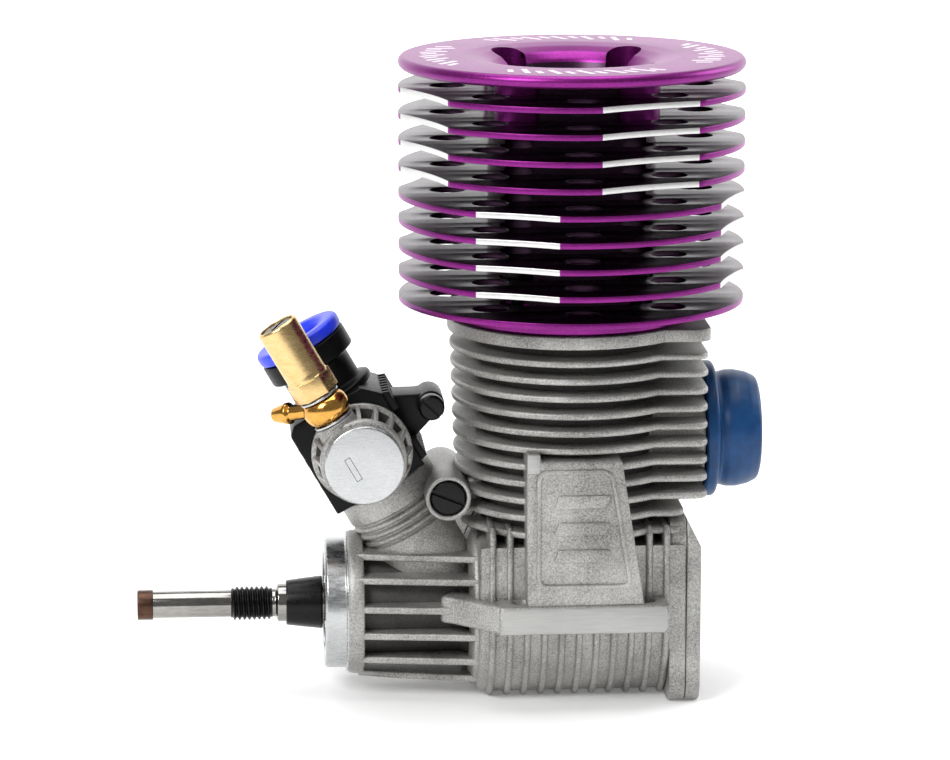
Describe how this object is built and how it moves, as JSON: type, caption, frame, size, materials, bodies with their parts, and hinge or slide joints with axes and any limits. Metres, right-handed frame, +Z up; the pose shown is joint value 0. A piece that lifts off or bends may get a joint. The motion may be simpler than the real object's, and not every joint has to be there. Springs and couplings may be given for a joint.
{
  "type": "model glow engine",
  "caption": "Two-stroke model glow engine with finned cooling head, slide carburettor with needle valve, threaded crankshaft nose, side mounting lugs and rear exhaust outlet.",
  "frame": {"origin": "middle of the bounding box in X and Y, on the floor the crankcase ribs stand on", "axes": "+Z up along the cylinder; the crankshaft lies along X with its threaded nose at -X and the exhaust at +X; the fuel inlet and high-speed needle are on the -Y side"},
  "size_m": [0.1142, 0.0628, 0.1174],
  "materials": {
    "cast_aluminium": "shot-blasted casting",
    "purple_anodised": "purple anodised, satin",
    "machined_aluminium": "machined",
    "ground_steel": "ground and polished",
    "black_oxide_steel": "black oxide",
    "brass": "turned brass",
    "gold_brass": "polished brass",
    "bronze": "sintered bronze",
    "copper": "soft copper",
    "black_composite": "moulded",
    "black_rubber": "soft rubber",
    "royal_blue_plastic": "soft plastic",
    "steel_blue_plastic": "soft glossy plastic"
  },
  "bodies": {
    "engine": {"crankcase": "cast_aluminium", "backplate": "cast_aluminium", "backplate_o_ring": "black_rubber", "backplate_screw_1": "black_oxide_steel", "backplate_screw_2": "black_oxide_steel", "backplate_screw_3": "black_oxide_steel", "backplate_screw_4": "black_oxide_steel", "rear_bearing_outer_race": "ground_steel", "front_bearing_outer_race": "ground_steel", "cylinder_liner": "brass", "head_shim": "copper", "combustion_button": "machined_aluminium", "cooling_head": "purple_anodised", "head_screw_1": "black_oxide_steel", "head_screw_2": "black_oxide_steel", "head_screw_3": "black_oxide_steel", "head_screw_4": "black_oxide_steel", "glow_plug_washer": "copper", "glow_plug_body": "ground_steel", "glow_plug_terminal": "ground_steel", "carburettor_body": "black_composite", "carburettor_o_ring": "black_rubber", "carburettor_clamp_bolt": "black_oxide_steel", "carburettor_clamp_nut": "black_oxide_steel", "fuel_inlet_housing": "cast_aluminium", "fuel_inlet_cap": "machined_aluminium", "spray_bar": "brass", "fuel_banjo": "gold_brass", "banjo_washer_lower": "machined_aluminium", "banjo_washer_upper": "machined_aluminium", "needle_valve_holder": "brass", "throttle_collar": "cast_aluminium", "throttle_boot": "black_rubber"},
    "crank": {"crankshaft": "ground_steel", "flywheel_collet": "black_oxide_steel", "rear_bearing_inner_race": "ground_steel", "front_bearing_inner_race": "ground_steel"},
    "rear_cage": {"rear_bearing_ball_cage": "ground_steel"},
    "front_cage": {"front_bearing_ball_cage": "ground_steel"},
    "piston_set": {"piston": "machined_aluminium", "wrist_pin": "ground_steel", "wrist_pin_clip_front": "black_oxide_steel", "wrist_pin_clip_rear": "black_oxide_steel"},
    "rod": {"connecting_rod": "machined_aluminium", "rod_big_end_bush": "bronze"},
    "throttle": {"throttle_slide": "ground_steel", "throttle_ball": "black_oxide_steel"},
    "low_needle": {"low_speed_needle": "brass"},
    "high_needle": {"high_speed_needle": "black_oxide_steel"},
    "idle_screw": {"idle_stop_screw": "black_oxide_steel"},
    "exhaust_cap": {"exhaust_dust_cap": "steel_blue_plastic"},
    "intake_plug": {"intake_dust_plug": "royal_blue_plastic"}
  },
  "joints": [
    {"name": "crank_spin", "type": "hinge", "parent": "engine", "child": "crank", "pos_m": [0.0027, 0, 0.0163], "axis": [1, 0, 0], "continuous": true},
    {"name": "rear_cage_spin", "type": "hinge", "parent": "engine", "child": "rear_cage", "pos_m": [0.0084, 0, 0.0163], "axis": [1, 0, 0], "continuous": true},
    {"name": "front_cage_spin", "type": "hinge", "parent": "engine", "child": "front_cage", "pos_m": [-0.0196, 0, 0.0163], "axis": [1, 0, 0], "continuous": true},
    {"name": "piston_slide", "type": "slide", "parent": "engine", "child": "piston_set", "axis": [0, 0, 1], "range_m": [-0.0176, 0]},
    {"name": "rod_swing", "type": "hinge", "parent": "piston_set", "child": "rod", "pos_m": [0.0227, 0, 0.0563], "axis": [1, 0, 0], "range_deg": [-16.38, 16.38]},
    {"name": "throttle_slide", "type": "slide", "parent": "engine", "child": "throttle", "axis": [0, 1, 0], "range_m": [-0.0075, 0], "deforming": ["throttle_boot"]},
    {"name": "low_needle_turn", "type": "hinge", "parent": "throttle", "child": "low_needle", "pos_m": [-0.01595, 0.015, 0.04664], "axis": [0, 1, 0], "range_deg": [-720, 720]},
    {"name": "high_needle_turn", "type": "hinge", "parent": "engine", "child": "high_needle", "pos_m": [-0.02601, -0.0141, 0.06208], "axis": [-0.5, 0, 0.866], "range_deg": [-1080, 720]},
    {"name": "idle_stop_turn", "type": "hinge", "parent": "engine", "child": "idle_screw", "pos_m": [-0.00324, 0, 0.05444], "axis": [0, 1, 0], "range_deg": [-720, 720]},
    {"name": "exhaust_cap_pull", "type": "slide", "parent": "engine", "child": "exhaust_cap", "axis": [1, 0, 0], "range_m": [0, 0.03]},
    {"name": "intake_plug_pull", "type": "slide", "parent": "engine", "child": "intake_plug", "axis": [-0.5, 0, 0.866], "range_m": [0, 0.02]}
  ],
  "couplings": [
    {"joint": "rear_cage_spin", "follows": "crank_spin", "ratio": 0.3557},
    {"joint": "front_cage_spin", "follows": "crank_spin", "ratio": 0.2816}
  ]
}
